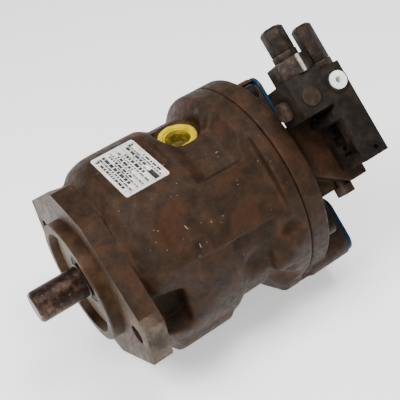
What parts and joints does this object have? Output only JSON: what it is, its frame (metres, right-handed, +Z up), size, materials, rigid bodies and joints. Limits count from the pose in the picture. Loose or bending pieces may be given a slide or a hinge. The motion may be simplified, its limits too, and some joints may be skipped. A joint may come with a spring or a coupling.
{
  "type": "axial piston pump",
  "caption": "Used swash plate axial piston pump with keyed shaft, two-bolt flange, covered rear ports, yellow drain cap and a two-spool controller.",
  "frame": {"origin": "where the shaft axis crosses the mounting face of the flange, midway between the two flange bolt holes", "axes": "+X along the drive shaft from the coupling end towards the ports, +Y along the two flange ears, +Z up through the yellow drain cap"},
  "size_m": [0.3224, 0.2362, 0.2864],
  "materials": {
    "cast_iron": "rusty, oily cast iron",
    "valve_iron": "dark rusty steel",
    "steel": "machined",
    "shaft_steel": "stained steel",
    "bronze": "machined",
    "seal_rubber": "matt",
    "yellow_plastic": "worn plastic",
    "white_plastic": "plastic",
    "blue_plastic": "plastic",
    "plate_aluminium": "worn printed plate"
  },
  "bodies": {
    "pump_body": {"adjuster_lock_nuts": "valve_iron", "blanking_plugs": "valve_iron", "block_spring": "steel", "casing_seal": "seal_rubber", "cradle_bearing_lower": "bronze", "cradle_bearing_upper": "bronze", "cylinder_block": "steel", "dowel_pins": "steel", "drain_port_cap": "yellow_plastic", "front_bearing_outer": "steel", "housing": "cast_iron", "lower_drain_plug": "valve_iron", "name_plate": "plate_aluminium", "name_plate_rivets": "plate_aluminium", "pilot_port_plug": "white_plastic", "port_covers": "blue_plastic", "port_plate": "cast_iron", "port_plate_screws": "valve_iron", "rear_bearing_outer": "steel", "return_spring": "steel", "seal_retaining_ring": "steel", "shaft_seal": "seal_rubber", "spool_end_cap": "valve_iron", "spool_springs": "steel", "valve_body": "valve_iron", "valve_plate": "bronze", "valve_screws": "valve_iron"},
    "rotor": {"drive_shaft": "shaft_steel", "front_bearing_inner": "steel", "rear_bearing_inner": "steel", "retainer_ball": "steel"},
    "front_cage": {"front_bearing_rollers": "steel"},
    "rear_cage": {"rear_bearing_rollers": "steel"},
    "swash": {"swash_plate": "steel"},
    "hold_down": {"retainer_plate": "steel"},
    "control_servo": {"control_piston": "steel"},
    "counter_servo": {"counter_piston": "steel"},
    "flow_spool_body": {"flow_spool": "steel"},
    "pressure_spool_body": {"pressure_spool": "steel"},
    "flow_adjuster_body": {"flow_adjuster": "valve_iron"},
    "pressure_adjuster_body": {"pressure_adjuster": "valve_iron"},
    "piston_body_1": {"piston_1": "steel"},
    "slipper_body_1": {"slipper_1": "bronze"},
    "piston_body_2": {"piston_2": "steel"},
    "slipper_body_2": {"slipper_2": "bronze"},
    "piston_body_3": {"piston_3": "steel"},
    "slipper_body_3": {"slipper_3": "bronze"},
    "piston_body_4": {"piston_4": "steel"},
    "slipper_body_4": {"slipper_4": "bronze"},
    "piston_body_5": {"piston_5": "steel"},
    "slipper_body_5": {"slipper_5": "bronze"},
    "piston_body_6": {"piston_6": "steel"},
    "slipper_body_6": {"slipper_6": "bronze"},
    "piston_body_7": {"piston_7": "steel"},
    "slipper_body_7": {"slipper_7": "bronze"},
    "piston_body_8": {"piston_8": "steel"},
    "slipper_body_8": {"slipper_8": "bronze"},
    "piston_body_9": {"piston_9": "steel"},
    "slipper_body_9": {"slipper_9": "bronze"}
  },
  "joints": [
    {"name": "shaft_spin", "type": "hinge", "parent": "pump_body", "child": "rotor", "pos_m": [0, 0, 0], "axis": [1, 0, 0], "continuous": true},
    {"name": "front_cage_spin", "type": "hinge", "parent": "pump_body", "child": "front_cage", "pos_m": [0.022, 0, 0], "axis": [1, 0, 0], "continuous": true},
    {"name": "rear_cage_spin", "type": "hinge", "parent": "pump_body", "child": "rear_cage", "pos_m": [0.193, 0, 0], "axis": [1, 0, 0], "continuous": true},
    {"name": "swash_tilt", "type": "hinge", "parent": "pump_body", "child": "swash", "pos_m": [0.072, 0, 0], "axis": [0, 0.7071, 0.7071], "range_deg": [0, 15]},
    {"name": "retainer_tilt", "type": "hinge", "parent": "pump_body", "child": "hold_down", "pos_m": [0.072, 0, 0], "axis": [0, 0.7071, 0.7071], "range_deg": [0, 15.1]},
    {"name": "piston_1_slide", "type": "slide", "parent": "pump_body", "child": "piston_body_1", "axis": [1, 0, 0], "range_m": [0, 0.0002621]},
    {"name": "slipper_1_tilt", "type": "hinge", "parent": "piston_body_1", "child": "slipper_body_1", "pos_m": [0.078, 0.02687, 0.02687], "axis": [0, 0.7071, 0.7071], "range_deg": [0, 15.1]},
    {"name": "piston_2_slide", "type": "slide", "parent": "pump_body", "child": "piston_body_2", "axis": [1, 0, 0], "range_m": [0, 0.00681]},
    {"name": "slipper_2_tilt", "type": "hinge", "parent": "piston_body_2", "child": "slipper_body_2", "pos_m": [0.078, 0.00331, 0.03786], "axis": [0, 0.7071, 0.7071], "range_deg": [0, 15.1]},
    {"name": "piston_3_slide", "type": "slide", "parent": "pump_body", "child": "piston_body_3", "axis": [1, 0, 0], "range_m": [0, 0.01029]},
    {"name": "slipper_3_tilt", "type": "hinge", "parent": "piston_body_3", "child": "slipper_body_3", "pos_m": [0.078, -0.0218, 0.03113], "axis": [0, 0.7071, 0.7071], "range_deg": [0, 15.1]},
    {"name": "piston_4_slide", "type": "slide", "parent": "pump_body", "child": "piston_body_4", "axis": [1, 0, 0], "range_m": [0, 0.00908]},
    {"name": "slipper_4_tilt", "type": "hinge", "parent": "piston_body_4", "child": "slipper_body_4", "pos_m": [0.078, -0.03671, 0.00984], "axis": [0, 0.7071, 0.7071], "range_deg": [0, 15.1]},
    {"name": "piston_5_slide", "type": "slide", "parent": "pump_body", "child": "piston_body_5", "axis": [1, 0, 0], "range_m": [0, 0.00374]},
    {"name": "slipper_5_tilt", "type": "hinge", "parent": "piston_body_5", "child": "slipper_body_5", "pos_m": [0.078, -0.03444, -0.01606], "axis": [0, 0.7071, 0.7071], "range_deg": [0, 15.1]},
    {"name": "piston_6_slide", "type": "slide", "parent": "pump_body", "child": "piston_body_6", "axis": [1, 0, 0], "range_m": [-0.00332, 0]},
    {"name": "slipper_6_tilt", "type": "hinge", "parent": "piston_body_6", "child": "slipper_body_6", "pos_m": [0.078, -0.01606, -0.03444], "axis": [0, 0.7071, 0.7071], "range_deg": [0, 15.1]},
    {"name": "piston_7_slide", "type": "slide", "parent": "pump_body", "child": "piston_body_7", "axis": [1, 0, 0], "range_m": [-0.00866, 0]},
    {"name": "slipper_7_tilt", "type": "hinge", "parent": "piston_body_7", "child": "slipper_body_7", "pos_m": [0.078, 0.00984, -0.03671], "axis": [0, 0.7071, 0.7071], "range_deg": [0, 15.1]},
    {"name": "piston_8_slide", "type": "slide", "parent": "pump_body", "child": "piston_body_8", "axis": [1, 0, 0], "range_m": [-0.00987, 0]},
    {"name": "slipper_8_tilt", "type": "hinge", "parent": "piston_body_8", "child": "slipper_body_8", "pos_m": [0.078, 0.03113, -0.0218], "axis": [0, 0.7071, 0.7071], "range_deg": [0, 15.1]},
    {"name": "piston_9_slide", "type": "slide", "parent": "pump_body", "child": "piston_body_9", "axis": [1, 0, 0], "range_m": [-0.00638, 0]},
    {"name": "slipper_9_tilt", "type": "hinge", "parent": "piston_body_9", "child": "slipper_body_9", "pos_m": [0.078, 0.03786, 0.00331], "axis": [0, 0.7071, 0.7071], "range_deg": [0, 15.1]},
    {"name": "control_piston_slide", "type": "slide", "parent": "pump_body", "child": "control_servo", "axis": [1, 0, 0], "range_m": [0, 0.01749]},
    {"name": "counter_piston_slide", "type": "slide", "parent": "pump_body", "child": "counter_servo", "axis": [1, 0, 0], "range_m": [-0.01694, 0]},
    {"name": "flow_spool_slide", "type": "slide", "parent": "pump_body", "child": "flow_spool_body", "axis": [0, 0.7071, 0.7071], "range_m": [-0.0015, 0.0015], "stiffness_N_per_m": 400},
    {"name": "pressure_spool_slide", "type": "slide", "parent": "pump_body", "child": "pressure_spool_body", "axis": [0, 0.7071, 0.7071], "range_m": [-0.0015, 0.0015], "stiffness_N_per_m": 600},
    {"name": "flow_adjuster_turn", "type": "hinge", "parent": "pump_body", "child": "flow_adjuster_body", "pos_m": [0.2275, -0.02828, 0.15556], "axis": [0, 0.7071, 0.7071], "range_deg": [-360, 360]},
    {"name": "pressure_adjuster_turn", "type": "hinge", "parent": "pump_body", "child": "pressure_adjuster_body", "pos_m": [0.2555, -0.03536, 0.14849], "axis": [0, 0.7071, 0.7071], "range_deg": [-360, 360]}
  ],
  "couplings": [
    {"joint": "front_cage_spin", "follows": "shaft_spin", "ratio": 0.444},
    {"joint": "rear_cage_spin", "follows": "shaft_spin", "ratio": 0.444},
    {"joint": "retainer_tilt", "follows": "swash_tilt", "ratio": 1},
    {"joint": "piston_1_slide", "follows": "swash_tilt", "m_per_rad": 0.00081},
    {"joint": "slipper_1_tilt", "follows": "swash_tilt", "ratio": 1},
    {"joint": "piston_2_slide", "follows": "swash_tilt", "m_per_rad": 0.02581},
    {"joint": "slipper_2_tilt", "follows": "swash_tilt", "ratio": 1},
    {"joint": "piston_3_slide", "follows": "swash_tilt", "m_per_rad": 0.039112},
    {"joint": "slipper_3_tilt", "follows": "swash_tilt", "ratio": 1},
    {"joint": "piston_4_slide", "follows": "swash_tilt", "m_per_rad": 0.034492},
    {"joint": "slipper_4_tilt", "follows": "swash_tilt", "ratio": 1},
    {"joint": "piston_5_slide", "follows": "swash_tilt", "m_per_rad": 0.014112},
    {"joint": "slipper_5_tilt", "follows": "swash_tilt", "ratio": 1},
    {"joint": "piston_6_slide", "follows": "swash_tilt", "m_per_rad": -0.012492},
    {"joint": "slipper_6_tilt", "follows": "swash_tilt", "ratio": 1},
    {"joint": "piston_7_slide", "follows": "swash_tilt", "m_per_rad": -0.032872},
    {"joint": "slipper_7_tilt", "follows": "swash_tilt", "ratio": 1},
    {"joint": "piston_8_slide", "follows": "swash_tilt", "m_per_rad": -0.037492},
    {"joint": "slipper_8_tilt", "follows": "swash_tilt", "ratio": 1},
    {"joint": "piston_9_slide", "follows": "swash_tilt", "m_per_rad": -0.02419},
    {"joint": "slipper_9_tilt", "follows": "swash_tilt", "ratio": 1},
    {"joint": "control_piston_slide", "follows": "swash_tilt", "m_per_rad": 0.0666},
    {"joint": "counter_piston_slide", "follows": "swash_tilt", "m_per_rad": -0.0645}
  ]
}
